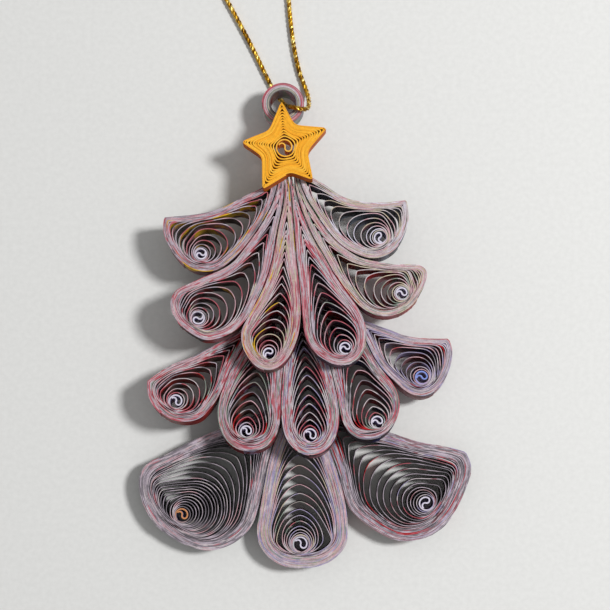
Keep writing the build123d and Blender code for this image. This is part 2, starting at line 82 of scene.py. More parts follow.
def scaled(tree, value, low=0.0, high=1.0, start=0.0, end=1.0):
    # a value that goes from start to end while the given one goes from low to high
    limits = {"From Min": low, "From Max": high, "To Min": start, "To Max": end}
    return nodeIn(tree, "MapRange", {"Value": value, **limits}).outputs["Result"]


def shadedBy(tree, color, shade):
    # a colour times a shade
    return nodeIn(tree, "VectorMath", {0: color, "Scale": shade}, operation="SCALE").outputs["Vector"]


def noiseIn(tree, place, scale, detail=2.0, roughness=0.5):
    inputs = {"Vector": place, "Scale": scale, "Detail": detail, "Roughness": roughness}
    return nodeIn(tree, "TexNoise", inputs).outputs["Fac"]


def bumped(tree, height, strength, distance=0.00006):
    # the normal of a surface whose relief is this height
    inputs = {"Height": height, "Strength": strength, "Distance": distance}
    return nodeIn(tree, "Bump", inputs).outputs["Normal"]


def newMaterial(name):
    material = bpy.data.materials.new(name)
    material.use_nodes = True
    return material, material.node_tree, material.node_tree.nodes["Principled BSDF"]


def newGroup(name, entries, exits):
    # a node group with these values going in and coming out, and its two end nodes
    group = bpy.data.node_groups.new(name, "ShaderNodeTree")
    for way, sockets in (("INPUT", entries), ("OUTPUT", exits)):
        for socket in sockets:
            group.interface.new_socket(socket, in_out=way, socket_type="NodeSocketFloat")
    return group, group.nodes.new("NodeGroupInput"), group.nodes.new("NodeGroupOutput")


def tint(red, green, blue):
    # a screen colour from 0 to 255 as the light that it stands for
    parts = [part / 255 for part in (red, green, blue)]
    return tuple(part / 12.92 if part < 0.04045 else ((part + 0.055) / 1.055) ** 2.4 for part in parts) + (1,)


def ramp(tree, value, stops):
    node = nodeIn(tree, "ValToRGB", {"Fac": value})
    band = node.color_ramp
    band.elements[0].position, band.elements[0].color = stops[0]
    band.elements[1].position, band.elements[1].color = stops[-1]
    for position, color in stops[1:-1]:
        band.elements.new(position).color = color
    return node.outputs["Color"]


def placed(name, data):
    item = bpy.data.objects.new(name, data)
    bpy.context.scene.collection.objects.link(item)
    return item


# Camera, at the photograph's place, and the lamps
cameraLook = {"sensor": 36.0, "clipStart": 0.01}
floorWidth = photo["pixels"] * photo["mmPerPixel"]
cameraData = bpy.data.cameras.new("photoCamera")
cameraData.sensor_width = cameraLook["sensor"]
cameraData.lens = cameraLook["sensor"] * photo["cameraHeight"] / floorWidth
cameraData.shift_x = (photo["pixels"] / 2 - photo["belowCamera"][0]) / photo["pixels"]
cameraData.shift_y = (photo["belowCamera"][1] - photo["pixels"] / 2) / photo["pixels"]
cameraData.clip_start = cameraLook["clipStart"]
camera = placed("photoCamera", cameraData)
cameraPlace = planPoints(photo["belowCamera"], 0)[0] * mm
camera.location = (cameraPlace[0], cameraPlace[1], photo["cameraHeight"] * mm)
bpy.context.scene.camera = camera

studio = {
    "keyDirection": (0.80, 0.20, 1.0),
    "keyDistance": 1.0,
    "keySize": 0.20,
    "keyPower": 8.6,
    "skyColor": (1.0, 1.0, 1.0, 1),
    "skyStrength": 0.36,
    "floorColor": tint(226, 226, 224),
}
keyData = bpy.data.lights.new("keyLamp", "AREA")
keyData.shape = "DISK"
keyData.size = studio["keySize"]
keyData.energy = studio["keyPower"]
keyLamp = placed("keyLamp", keyData)
direction = np.array(studio["keyDirection"])
direction = direction / np.linalg.norm(direction)
keyLamp.location = direction * studio["keyDistance"]
keyLamp.rotation_euler = (0, math.acos(direction[2]), math.atan2(direction[1], direction[0]))
world = bpy.data.worlds.new("studioSky")
world.use_nodes = True
setInputs(world.node_tree, world.node_tree.nodes["Background"], {
    "Color": studio["skyColor"],
    "Strength": studio["skyStrength"],
})
bpy.context.scene.world = world
bpy.context.scene.view_settings.view_transform = "Standard"
print("camera and lamps")


def meshPiece(name, points, faces, materials, uv=None, which=None, sharpAt=50, smooth=True):
    # points in millimetres become a mesh in metres, with its edges sharp above an angle
    mesh = bpy.data.meshes.new(name)
    mesh.from_pydata((points * mm).tolist(), [], faces.tolist())
    for material in materials:
        mesh.materials.append(material)
    if which is not None:
        mesh.polygons.foreach_set("material_index", np.asarray(which, dtype=np.int32))
    if uv is not None:
        mesh.uv_layers.new(name="strip").data.foreach_set("uv", (uv * mm).astype(np.float32).ravel())
    if smooth:
        mesh.shade_smooth()
        mesh.set_sharp_from_angle(angle=math.radians(sharpAt))
    mesh.update()
    return placed(name, mesh)


def gridFaces(rows, columns, start=0):
    # four corners of each cell of a grid whose columns close into a ring
    row, column = np.meshgrid(np.arange(rows - 1), np.arange(columns), indexing="ij")
    following = (column + 1) % columns
    here = row * columns
    corners = [here + column, here + columns + column, here + columns + following, here + following]
    return start + np.stack(corners, axis=-1).reshape(-1, 4)


def sideways(line):
    # two unit vectors square to a line at each of its points, the first one level
    tangent = unit(np.gradient(line, axis=0))
    level = unit(np.cross([0.0, 0.0, 1.0], tangent))
    return level, np.cross(tangent, level)


def gridUv(along, first, second):
    # each face's four corners on the map: how far along the piece they are, and the two values of their column
    row, column = np.meshgrid(np.arange(len(along) - 1), np.arange(len(first)), indexing="ij")
    low, high = first[column], second[column]
    corners = [(along[row], low), (along[row + 1], low), (along[row + 1], high), (along[row], high)]
    return np.stack([np.stack(pair, -1) for pair in corners], axis=-2).reshape(-1, 2)


def unit(vectors):
    return vectors / np.linalg.norm(vectors, axis=-1, keepdims=True)


def polar(reach, angle):
    return np.stack([reach * np.cos(angle), reach * np.sin(angle)], axis=-1)


def lengthsAlong(line):
    # how far each point of a line lies from its start
    return np.concatenate([[0], np.cumsum(np.linalg.norm(np.diff(line, axis=0), axis=1))])


# The floor
floorLook = {
    "reach": 3.0, "under": 0.02, "grainScale": 900.0, "grainRange": (0.3, 0.7), "darkShare": 0.95,
    "roughness": 0.9, "gloss": 0.1,
}
floorMaterial, floorTree, floorShader = newMaterial("paleFloor")
floorGrain = noiseIn(floorTree, nodeIn(floorTree, "TexCoord").outputs["Object"], floorLook["grainScale"])
floorColor = studio["floorColor"]
floorDark = tuple(part * floorLook["darkShare"] for part in floorColor[:3]) + (1,)
setInputs(floorTree, floorShader, {
    "Base Color": ramp(floorTree, floorGrain, list(zip(floorLook["grainRange"], (floorDark, floorColor)))),
    "Roughness": floorLook["roughness"],
    "Specular IOR Level": floorLook["gloss"],
})
floorCorners = np.array([(-1, -1, 0), (1, -1, 0), (1, 1, 0), (-1, 1, 0)]) * floorLook["reach"] / mm
floorCorners[:, 2] = -floorLook["under"]
floor = meshPiece("floor", floorCorners, np.array([[0, 1, 2, 3]]), [floorMaterial], smooth=False)
print("floor")

# The paper's finish: fibres and flecks, and the values that printed colours are read from. A noise has its
# changes in a metre along the strip and over its height, its detail, and its own shift of the seed; a stretch
# of the strip's length, in metres, is where a value goes from 0 to 1
grainLook = {
    "fibres": (4200.0, 3.0, 0.7), "flecks": (1500.0, 2.0), "range": (0.7, 1.3), "brightest": 1.08,
    "speckleUp": 0.6, "gloss": 0.3,
}
patternLook = {
    "noises": {
        "Long": (70.0, 0.0, 1.0, 3.7), "Short": (420.0, 500.0, 2.0, 11.3), "Patches": (62.0, 45.0, 6.0, 23.9),
    },
    "noiseRange": (0.28, 0.72),
    "stretches": {"Core": (0.006, 0.013), "Wound": (0.0, 0.2575)},
}


def paperGrainGroup():
    # fine fibres and flecks: a shade that multiplies the colour, and a height for the bump
    group, entry, leaving = newGroup("paperGrain", ["Depth"], ["Shade", "Height"])
    place = nodeIn(group, "TexCoord").outputs["Object"]
    fibres = noiseIn(group, place, *grainLook["fibres"])
    both = calculated(group, "ADD", fibres, noiseIn(group, place, *grainLook["flecks"]))
    low = calculated(group, "SUBTRACT", 1.0, entry.outputs["Depth"])
    shade = scaled(group, scaled(group, both, *grainLook["range"]), 0.0, 1.0, low, grainLook["brightest"])
    setInputs(group, leaving, {"Shade": shade, "Height": both})
    return group


def stripPatternGroup():
    # values that change along a strip and over its height, told by its own map, whose first part is the length
    noises, stretches = patternLook["noises"], patternLook["stretches"]
    group, entry, leaving = newGroup("stripPattern", ["Seed"], [*noises, *stretches])
    uv = nodeIn(group, "UVMap", uv_map="strip").outputs["UV"]
    parts = nodeIn(group, "SeparateXYZ", {"Vector": uv}).outputs
    for name, (scaleAlong, scaleUp, detail, shift) in noises.items():
        place = nodeIn(group, "CombineXYZ", {
            "X": calculated(group, "MULTIPLY", parts["X"], scaleAlong),
            "Y": calculated(group, "MULTIPLY", parts["Y"], scaleUp),
            "Z": calculated(group, "ADD", entry.outputs["Seed"], shift),
        })
        noise = noiseIn(group, place.outputs[0], 1.0, detail)
        setInputs(group, leaving, {name: scaled(group, noise, *patternLook["noiseRange"])})
    for name, stretch in stretches.items():
        setInputs(group, leaving, {name: scaled(group, parts["X"], *stretch)})
    return group


paperGrain = paperGrainGroup()
stripPattern = stripPatternGroup()


def stripMaterial(name, seed, pattern, stops, coreColor, finish):
    # a ramp of printed colours read along the strip, with the plain core, flecks and fibres over it
    material, tree, shader = newMaterial(name)
    values = nodeIn(tree, "Group", {"Seed": seed}, node_tree=stripPattern).outputs
    grains = nodeIn(tree, "Group", {"Depth": finish["grain"]}, node_tree=paperGrain).outputs
    darkest, brightest = 1 - finish["speckle"], 1 + finish["speckle"] * grainLook["speckleUp"]
    speckle = scaled(tree, values["Short"], 0.0, 1.0, darkest, brightest)
    printed = shadedBy(tree, ramp(tree, values[pattern], stops), speckle)
    # inputs 6 and 7 of the mix are its two colours, and output 2 is the mixed one
    mixed = {"Factor": values["Core"], 6: coreColor, 7: printed}
    cored = nodeIn(tree, "Mix", mixed, data_type="RGBA").outputs[2]
    setInputs(tree, shader, {
        "Base Color": shadedBy(tree, cored, grains["Shade"]),
        "Normal": bumped(tree, grains["Height"], finish["bump"]),
        "Roughness": finish["roughness"],
        "Specular IOR Level": grainLook["gloss"],
    })
    return material


# The cord: three metallic strands twisted together along one smooth line, from the knot through the ring and
# back. Lengths are in millimetres, and the route, length and diameter in metres
cordLook = {
    "route": [
        (-0.01320, 0.11755, 0.00105), (-0.01320, 0.10955, 0.00105), (-0.01984, 0.09598, 0.00060),
        (-0.02257, 0.08304, 0.00060), (-0.01258, 0.06487, 0.00060), (-0.00740, 0.05395, 0.00060),
        (-0.00500, 0.05090, 0.00060), (-0.00385, 0.04960, 0.00300), (-0.00315, 0.04850, 0.00785),
        (0.00030, 0.04770, 0.00775), (0.00095, 0.04970, 0.00400), (0.00055, 0.05320, 0.00060),
        (-0.00165, 0.05850, 0.00060), (-0.00327, 0.06760, 0.00060), (-0.00417, 0.08009, 0.00060),
        (-0.00667, 0.09939, 0.00060), (-0.01195, 0.10855, 0.00105), (-0.01195, 0.11755, 0.00105),
    ],
    "length": 0.1576,
    "diameter": 0.0011,
    "resolution": 40, "step": 0.22, "strands": 3, "strandRadius": 0.27, "strandOffset": 0.27, "pitch": 3.4,
    "sides": 7, "sharpAt": 80, "lowest": 0.01,
}
goldLook = {
    "facetScale": (1500.0, 1500.0, 1.0), "facetRandomness": 0.8, "roughness": (0.22, 0.5), "bump": 0.6,
    "metallic": 0.85,
    # colours from dark gold-brown to pale yellow-white: the palest are painted glints, the darkest partly
    # painted shade
    "stops": [
        (0.0, tint(96, 62, 8)), (0.4, tint(170, 122, 20)),
        (0.75, tint(226, 178, 50)), (1.0, tint(255, 236, 150)),
    ],
}


def goldMaterial(name):
    # foil wound on a thread: bright flecks that are painted glints, darker gold between them that is partly
    # the foil's own tone and partly painted shade, and small facets in the bump
    material, tree, shader = newMaterial(name)
    uv = nodeIn(tree, "UVMap", uv_map="strip").outputs["UV"]
    place = nodeIn(tree, "Mapping", {"Vector": uv, "Scale": goldLook["facetScale"]}).outputs["Vector"]
    inputs = {"Vector": place, "Scale": 1.0, "Randomness": goldLook["facetRandomness"]}
    facets = nodeIn(tree, "TexVoronoi", inputs).outputs["Color"]
    flat = nodeIn(tree, "SeparateColor", {"Color": facets}).outputs
    setInputs(tree, shader, {
        "Base Color": ramp(tree, flat["Red"], goldLook["stops"]),
        "Roughness": scaled(tree, flat["Green"], 0.0, 1.0, *goldLook["roughness"]),
        "Normal": bumped(tree, flat["Blue"], goldLook["bump"]),
        "Metallic": goldLook["metallic"],
    })
    return material


def strandLines(line, offset, pitch, strands):
    # helices round a line, the same share of a turn apart
    level, across = sideways(line)
    turn = lengthsAlong(line) / pitch * math.tau
    lines = []
    for strand in range(strands):
        angle = (turn + strand * math.tau / strands)[:, None]
        lines.append(line + offset * (np.cos(angle) * level + np.sin(angle) * across))
    return lines


def tubePiece(name, lines, radius, material):
    # round tubes along several lines: a circle carried along each line, never lower than just above the floor
    sides = cordLook["sides"]
    angles = np.arange(sides) * math.tau / sides
    around = np.arange(sides + 1) * math.tau * radius / sides
    points, faces, uvs, count = [], [], [], 0
    for line in lines:
        level, across = sideways(line)
        ring = np.cos(angles)[:, None] * level[:, None, :] + np.sin(angles)[:, None] * across[:, None, :]
        points.append((line[:, None, :] + radius * ring).reshape(-1, 3))
        faces.append(gridFaces(len(line), sides, count))
        uvs.append(gridUv(lengthsAlong(line), around[:-1], around[1:]))
        count += len(line) * sides
    points = np.concatenate(points)
    points[:, 2] = np.maximum(points[:, 2], cordLook["lowest"])
    piece = meshPiece(
        name, points, np.concatenate(faces), [material], np.concatenate(uvs), sharpAt=cordLook["sharpAt"],
    )
    # the open ends of each tube get a face
    work = bmesh.new()
    work.from_mesh(piece.data)
    bmesh.ops.holes_fill(work, edges=[edge for edge in work.edges if edge.is_boundary], sides=sides)
    work.to_mesh(piece.data)
    work.free()
    return piece


routeData = bpy.data.curves.new("cordRoute", "CURVE")
routeData.dimensions = "3D"
routeData.resolution_u = cordLook["resolution"]
routeSpline = routeData.splines.new("NURBS")
routeSpline.points.add(len(cordLook["route"]) - 1)
routeSpline.points.foreach_set("co", np.array([point + (1.0,) for point in cordLook["route"]]).ravel())
routeSpline.order_u = 3
routeSpline.use_endpoint_u = True
routeObject = placed("cordRoute", routeData)
bpy.context.view_layer.update()
routeMesh = bpy.data.meshes.new_from_object(routeObject)
routeLine = np.empty(len(routeMesh.vertices) * 3)
routeMesh.vertices.foreach_get("co", routeLine)
routeLine = routeLine.reshape(-1, 3) / mm
bpy.data.objects.remove(routeObject)
routeLengths = lengthsAlong(routeLine)
cordSteps = np.arange(0, routeLengths[-1], cordLook["step"])
cordLine = np.stack([np.interp(cordSteps, routeLengths, routeLine[:, axis]) for axis in range(3)], axis=1)
goldFoilWithPaintedGlints = goldMaterial("goldFoilWithPaintedGlints")
cordStrands = strandLines(cordLine, cordLook["strandOffset"], cordLook["pitch"], cordLook["strands"])
cord = tubePiece("goldCord", cordStrands, cordLook["strandRadius"], goldFoilWithPaintedGlints)

# The knot: the twisted cord wound three times round both ends of the loop
knotLook = {
    "turns": 3.0, "radius": 0.85, "pitch": 0.82, "steps": 160, "start": 0.62, "height": 1.45, "offset": 0.27,
    "twist": 2.4, "strandRadius": 0.3, "coreSteps": 24, "coreSpan": (0.05, 4.4), "coreOffset": 0.3,
    "coreTwist": 2.0,
}
knotMiddle = (np.array(cordLook["route"][0]) + np.array(cordLook["route"][-1])) / 2 / mm
knotTurn = np.linspace(0, knotLook["turns"] * math.tau, knotLook["steps"])
knotLine = np.stack([
    knotMiddle[0] + knotLook["radius"] * np.cos(knotTurn),
    knotMiddle[1] + knotLook["start"] + knotLook["pitch"] * knotTurn / math.tau,
    knotLook["height"] + knotLook["radius"] * np.sin(knotTurn),
], axis=1)
coreSpan = knotMiddle[1] + np.array(knotLook["coreSpan"])
knotCore = np.stack([
    np.full(knotLook["coreSteps"], knotMiddle[0]),
    np.linspace(coreSpan[0], coreSpan[1], knotLook["coreSteps"]),
    np.full(knotLook["coreSteps"], knotLook["height"]),
], axis=1)
knotStrands = strandLines(knotLine, knotLook["offset"], knotLook["twist"], cordLook["strands"])
knotStrands += strandLines(knotCore, knotLook["coreOffset"], knotLook["coreTwist"], cordLook["strands"])
knot = tubePiece("endKnot", knotStrands, knotLook["strandRadius"], goldFoilWithPaintedGlints)
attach(cord, "root")
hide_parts("hanging_cord")
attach(knot, "root")
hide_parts("cord_knot")
print("cord", round(routeLengths[-1], 1), "mm")

# The paper: the strips' depth, the gap between two glued walls, a strip's thickness where it lies loose and
# where a stack presses it, and where its sides and cut edges have their places on the map
paper = {
    "depth": 4.5, "gap": 0.04, "sheet": 0.175, "filled": 0.96, "thinnest": 0.09, "tight": 1.6,
    "edgeMargin": 0.02, "sideShift": 20.0, "edgeShift": 30.0, "edgeWidth": 0.2, "curlSteps": 60,
    "curlSwing": 22,
}

# Planes that the fans lie on: a start in y and z, and the sine and cosine of the tilt
fans = {
    "back": (0.0, 0.0, 0.0, 1.0),
    "middle": (8.142367, 0.05, 0.177054, 0.984201),
    "front": (54.836613, 1.4, 0.102237, 0.994760),
    "star": (55.312016, 6.025634, 0.102237, 0.994760),
}


def onPlane(pixels, look):
    # pixels that show the top edge of a layer, in the coordinates of the layer's plane
    (y, z, sine, cosine), depth = fans[look["fan"]], look["depth"]
    rough = planPoints(pixels, 2 * paper["depth"])[:, 1]
    seen = planPoints(pixels, z - (rough - y) * sine / cosine + depth / cosine)
    return np.stack([seen[:, 0], (seen[:, 1] - y - depth * sine) / cosine], axis=1)


def inSpace(points, up, fan):
    # places on a fan's plane, this far above it, in space
    y, z, sine, cosine = fans[fan]
    return np.stack([
        points[..., 0],
        y + points[..., 1] * cosine + up * sine,
        z - points[..., 1] * sine + up * cosine,
    ], axis=-1)


def naturalSpline(points, perSpan=30):
    # the smooth curve through the points whose bending fades out at both ends
    points = np.asarray(points, float)
    spans = np.linalg.norm(np.diff(points, axis=0), axis=1)
    count = len(points)
    matrix = np.eye(count)
    right = np.zeros((count, 2))
    for index in range(1, count - 1):
        before, after = spans[index - 1], spans[index]
        matrix[index, index - 1:index + 2] = before, 2 * (before + after), after
        rise = (points[index + 1] - points[index]) / after - (points[index] - points[index - 1]) / before
        right[index] = 6 * rise
    bending = np.linalg.solve(matrix, right)
    share = np.linspace(0, 1, perSpan, endpoint=False)[None, :, None]
    start, end = points[:-1, None, :], points[1:, None, :]
    span = spans[:, None, None]
    low, high = bending[:-1, None, :], bending[1:, None, :]
    inner = ((1 - share) ** 3 - (1 - share)) * low + (share ** 3 - share) * high
    curve = (1 - share) * start + share * end + inner * span ** 2 / 6
    return np.concatenate([curve.reshape(-1, 2), points[-1:]])


def evenlyAlong(line, count):
    # points at equal distances along a closed line
    line = np.concatenate([line, line[:1]])
    along = lengthsAlong(line)
    places = (np.arange(count) + 0.5) / count * along[-1]
    return np.stack([np.interp(places, along, line[:, axis]) for axis in range(2)], axis=1)


class Spine:
    # the bowed middle line of a coil: places are told by how far along it and how far left of it they lie
    def __init__(self, eye, tip, bow):
        chord = tip - eye
        length = np.hypot(*chord)
        left = np.array([-chord[1], chord[0]]) / length
        self.radius = (length ** 2 / 4 + bow ** 2) / (2 * bow)
        self.center = (eye + tip) / 2 - left * (self.radius - bow)
        self.start = math.atan2(eye[1] - self.center[1], eye[0] - self.center[0])

    def straightened(self, points):
        arm = points - self.center
        turn = self.start - np.arctan2(arm[..., 1], arm[..., 0])
        turn = (turn + math.pi) % math.tau - math.pi
        left = np.copysign(np.hypot(arm[..., 0], arm[..., 1]), self.radius) - self.radius
        return self.radius * turn, left

    def bent(self, along, left):
        angle = self.start - along / self.radius
        return self.center + polar(np.abs(left + self.radius), angle)


# How turns lie: the steps round a turn and how much closer together they stand towards the tip, how sharply a
# turn leaves the stack away from the tip, from which angle on it keeps to the walls, the least share of the
# pitch between two turns, and how far the last turns would reach past tip and corner
winding = {
    "halfTurn": 75, "coilCrowding": 1.6, "evenCrowding": 1.0, "rimPoints": 520, "rimParts": 8, "wallSteps": 90,
    "nearTip": 0.5, "besideTip": 1.9, "wallRoundness": 16, "legs": 1.45, "leastStep": 0.6, "smoothings": 4,
    "archRounding": 0.05, "leastFacing": 0.05, "tipShare": 1.03, "cornerShare": 1.08, "cornerShoulder": 0.8,
    "leanSpread": 1.05, "waves": (1.37, 2.71), "waveRange": (0.55, 1.6), "seed": 40, "printStep": 7.3,
}

# What a strip is like unless its own values say otherwise: its depth, the eye's radius, how sharply its turns
# leave the stack, how far the arches' shoulders are drawn in, the stack's depth along the wall and its turns'
# distance, the thickness, the share of the turns past which they keep to the walls, the core's ink, the corner
# and the place that turns reach for, if any, with how fast an arch spreads to the corner and the share of the
# turns from which it does, how far the turns waver, the curl in the eye, and how uneven the cut edges are
usualStrip = {
    "depth": paper["depth"], "eyeRadius": 7, "roundness": 5, "shoulder": 0.0, "band": 1.15, "bandPitch": 0.165,
    "sheet": 0.17, "legs": 1.0, "core": "white", "corner": None, "cornerSpread": 1.5, "cornerStart": 0.0,
    "lean": None, "wobble": 0.14, "curlTurns": 0.55, "curlMore": 0.5, "curlShare": 0.74, "curlThick": 0.32,
    "unevenStep": 9.0, "unevenTop": 0.16,
}


def turnAngles(crowding):
    # the directions round a turn, closer together towards the tip, which is at 0
    side = math.pi * (np.arange(1, winding["halfTurn"] + 1) / winding["halfTurn"]) ** crowding
    return np.concatenate([-side[::-1], [0.0], side[:-1]])


coilAngles = turnAngles(winding["coilCrowding"])
evenAngles = turnAngles(winding["evenCrowding"])


class WallField:
    # how far from the wall every place inside an outline lies, along directions from the eye
    def __init__(self, rim, spine, angles):
        along, left = spine.straightened(rim)
        angle, reach = np.arctan2(left, along), np.hypot(along, left)
        order = np.argsort(angle)
        self.angles = angles
        self.steps = winding["wallSteps"]
        self.reach = np.interp(angles, angle[order], reach[order], period=math.tau)
        share = 1 - np.arange(self.steps + 1) / self.steps
        distance = self.reach[:, None] * share[None, :]
        places = spine.bent(distance * np.cos(angles)[:, None], distance * np.sin(angles)[:, None])
        nearest = np.full(distance.shape, np.inf)
        for part in np.array_split(rim, winding["rimParts"]):
            gaps = places[:, :, None, :] - part[None, None, :, :]
            nearest = np.minimum(nearest, np.sqrt((gaps ** 2).sum(-1).min(-1)))
        self.clearance = nearest[0, -1]
        self.walls = np.maximum.accumulate(nearest, axis=1)

    def inside(self, insets):
        # the distance from the eye at which a line keeps each of these insets from the wall
        insets = insets + np.zeros((1, len(self.angles)))
        count = (self.walls[None, :, :] < insets[:, :, None]).sum(-1)
        count = np.clip(count, 1, self.steps)
        column = np.arange(len(self.angles))[None, :].repeat(len(insets), 0)
        outer, inner = self.walls[column, count - 1], self.walls[column, count]
        share = np.clip((insets - outer) / np.maximum(inner - outer, 0.001), 0, 1)
        return self.reach[None, :] * (1 - (count - 1 + share) / self.steps)


def archTowards(place, spine, reachShare, spread, shoulder, start=0.0):
    # an arch's direction, how far its last turn would reach, how its tops spread and how far its shoulders are
    # drawn in, and the share of the turns at which it starts
    along, left = spine.straightened(place)
    return math.atan2(left, along), math.hypot(along, left) * reachShare, spread, shoulder, start


def archReach(angle, top, foot, shoulder):
    # a circle through the top and through the foot on the eye's other side, drawn in on both sides of its top
    middle, radius = (top - foot) / 2, (top + foot) / 2
    circle = middle * np.cos(angle) + np.sqrt(radius ** 2 - (middle * np.sin(angle)) ** 2)
    rounding = winding["archRounding"]
    beside = (np.hypot(np.sin(angle), rounding) - rounding) * np.maximum(np.cos(angle), 0)
    return circle / (1 + shoulder * (1 - foot / top) * beside)


def stretchedTight(reach, angles):
    # a strip pulled tight round a shape: the least distance to the lines that touch the shape from outside
    facing = np.cos(angles[:, None] - angles[None, :])
    touching = (reach[:, :, None] * facing[None]).max(axis=1)
    least = winding["leastFacing"]
    crossing = np.where(facing > least, touching[:, None, :] / np.maximum(facing[None], least), np.inf)
    return crossing.min(axis=2)


def coilTurns(field, look, arches):
    # closed lines, from the eye outwards: each one lies in the stack along the wall and leaves it in arches
    eyeRadius, freeTurns, band, roundness = [look[key] for key in ("eyeRadius", "turns", "band", "roundness")]
    bandTurns = round(band / look["bandPitch"])
    number = np.arange(freeTurns + 1)[:, None]
    pitch = (field.clearance - band - eyeRadius) / freeTurns
    share = number / freeTurns
    foot = eyeRadius + number * pitch
    wall = field.inside(band + (freeTurns - number) * pitch)
    angle = field.angles[None, :]
    free = foot + np.zeros(angle.shape)
    for towards, reach, spread, shoulder, start in arches:
        grown = np.maximum(share - start, 0) / (1 - start)
        top = np.maximum(eyeRadius + (reach - eyeRadius) * grown ** spread, foot)
        aside = (angle - towards + math.pi) % math.tau - math.pi
        free = np.maximum(free, archReach(aside, top, foot, shoulder))
    pressed = (np.abs(angle) > winding["legs"]) & (share > look["legs"])
    free = np.maximum(free, np.where(pressed, wall, 0))
    free = stretchedTight(free, field.angles)
    nearTip, besideTip = winding["nearTip"], winding["besideTip"]
    away = np.clip((np.abs(field.angles) - nearTip) / (besideTip - nearTip), 0, 1)
    power = roundness + (winding["wallRoundness"] - roundness) * away ** 2 * (3 - 2 * away)
    turns = [free[0]]
    for line in range(1, freeTurns):
        loose = np.maximum(free[line], turns[-1] + winding["leastStep"] * pitch)
        turns.append(wall[line] * (1 + (wall[line] / loose) ** power) ** (-1 / power))
    turns = np.array(turns + [wall[-1]])
    for _ in range(winding["smoothings"]):
        turns = (np.roll(turns, 1, axis=1) + 2 * turns + np.roll(turns, -1, axis=1)) / 4
    insets = band - (band - paper["sheet"] / 2) * np.arange(1, bandTurns + 1)[:, None] / bandTurns
    return np.concatenate([turns, field.inside(insets)])


def spiralled(turns, angles, freeTurns, rng, wobble):
    # one line that goes over from each closed line to the next in the course of a turn, with two slow waves
    # that are strongest a little past the middle of the free turns
    share = (angles[None, :] + math.pi) / math.tau
    reach = turns[:-1] * (1 - share) + turns[1:] * share
    flat = (np.arange(len(turns) - 1)[:, None] + share).ravel()
    phase = rng.uniform(0, math.tau, 2)
    wave = sum(np.sin(flat * math.tau * count + start) for count, start in zip(winding["waves"], phase))
    middle, fading = winding["waveRange"]
    loose = np.clip(1 - np.abs(flat / freeTurns - middle) * fading, 0, 1)
    return reach + (wobble * loose * wave * 0.5).reshape(reach.shape)


def standingStrip(name, line, thick, look, materials, rng):
    # a strip stood on edge along a line on a fan's plane: a side, lower edge, the other side, upper edge
    tangent = unit(np.gradient(line, axis=0))
    left = np.stack([-tangent[:, 1], tangent[:, 0]], axis=1) * (thick / 2)[:, None]
    along = lengthsAlong(line)
    knots = np.arange(0, along[-1] + look["unevenStep"], look["unevenStep"])
    uneven = np.interp(along, knots, rng.uniform(0, 1, len(knots))) * look["unevenTop"]
    fan, depth = look["fan"], look["depth"]
    top = depth - paper["edgeMargin"] - uneven
    bottom = np.full_like(top, paper["edgeMargin"])
    corners = [
        inSpace(line + left, top, fan), inSpace(line + left, bottom, fan),
        inSpace(line - left, bottom, fan), inSpace(line - left, top, fan),
    ]
    points = np.stack(corners, axis=1).reshape(-1, 3)
    last = 4 * (len(line) - 1)
    ends = [[0, 1, 2, 3], [last + 3, last + 2, last + 1, last]]
    faces = np.concatenate([gridFaces(len(line), 4), ends])
    sideShift, edgeShift = paper["sideShift"], paper["edgeShift"]
    first = np.array([depth, 0, sideShift, edgeShift])
    second = np.array([0, 0, sideShift + depth, edgeShift + paper["edgeWidth"]])
    uv = np.concatenate([gridUv(along, first, second), np.tile([[along[-1], edgeShift]], (8, 1))])
    which = np.concatenate([np.tile([0, 0, 0, 1], len(line) - 1), [1, 1]])
    piece = meshPiece(name, points, faces, materials, uv, which)
    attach(piece, "root")
    print(name, round(along[-1]), "mm of strip,", 2 * len(faces), "triangles")
    return piece


def curlLine(radius, turns, share):
    # the strip's start: across the eye in two half circles, then round it in a widening spiral
    count = int(paper["curlSteps"] * turns)
    grown = np.linspace(0, 1, count, endpoint=False)
    angle = -math.pi + np.linspace(-turns, 0, count, endpoint=False) * math.tau
    reach = radius * (share + (1 - share) * grown)
    bow = reach[0] / 2
    swing = np.linspace(0, math.pi, paper["curlSwing"])
    towards = np.array([math.cos(angle[0]), math.sin(angle[0])])
    across = np.array([-towards[1], towards[0]])
    ahead, aside = np.cos(swing)[:, None] * towards, np.sin(swing)[:, None] * across
    near, far = bow * (ahead - aside + towards), bow * (ahead + aside - towards)
    hook = np.concatenate([far[:0:-1], near[::-1]])[2:-1]
    return np.concatenate([hook, polar(reach, angle)])


def woundStrip(name, look, rim, spine, arches, angles, materials, rng):
    # one strip from the curl in the eye to its outer end, thinner where its turns are pressed together
    turns = coilTurns(WallField(rim, spine, angles), look, arches)
    reach = spiralled(turns, angles, look["turns"], rng, look["wobble"])
    curlTurns = look["curlTurns"] + (rng.uniform(0, look["curlMore"]) if look["curlMore"] else 0)
    curl = curlLine(look["eyeRadius"], curlTurns, look["curlShare"])
    perTurn, thickest = len(angles), look["sheet"]
    angle = np.tile(angles, len(reach))
    flat = reach.ravel()
    lean = np.hypot(1, np.gradient(flat) / np.maximum(np.gradient(np.unwrap(angle)), 0.0001) / flat)
    step = flat[perTurn:] - flat[:-perTurn]
    gapOut = np.concatenate([step, np.full(perTurn, thickest)]) / lean
    gapIn = np.concatenate([np.full(perTurn, thickest), step]) / lean
    tight = paper["tight"] * thickest
    pressed = [paper["thinnest"] / 2, paper["filled"] * tight, thickest]
    thick = np.interp(np.minimum(gapOut, gapIn), [0, tight, 2 * tight], pressed)
    local = np.concatenate([curl, polar(flat, angle)])
    thick = np.concatenate([np.full(len(curl), look["curlThick"]), thick])
    return standingStrip(name, spine.bent(local[:, 0], local[:, 1]), thick, look, materials, rng)
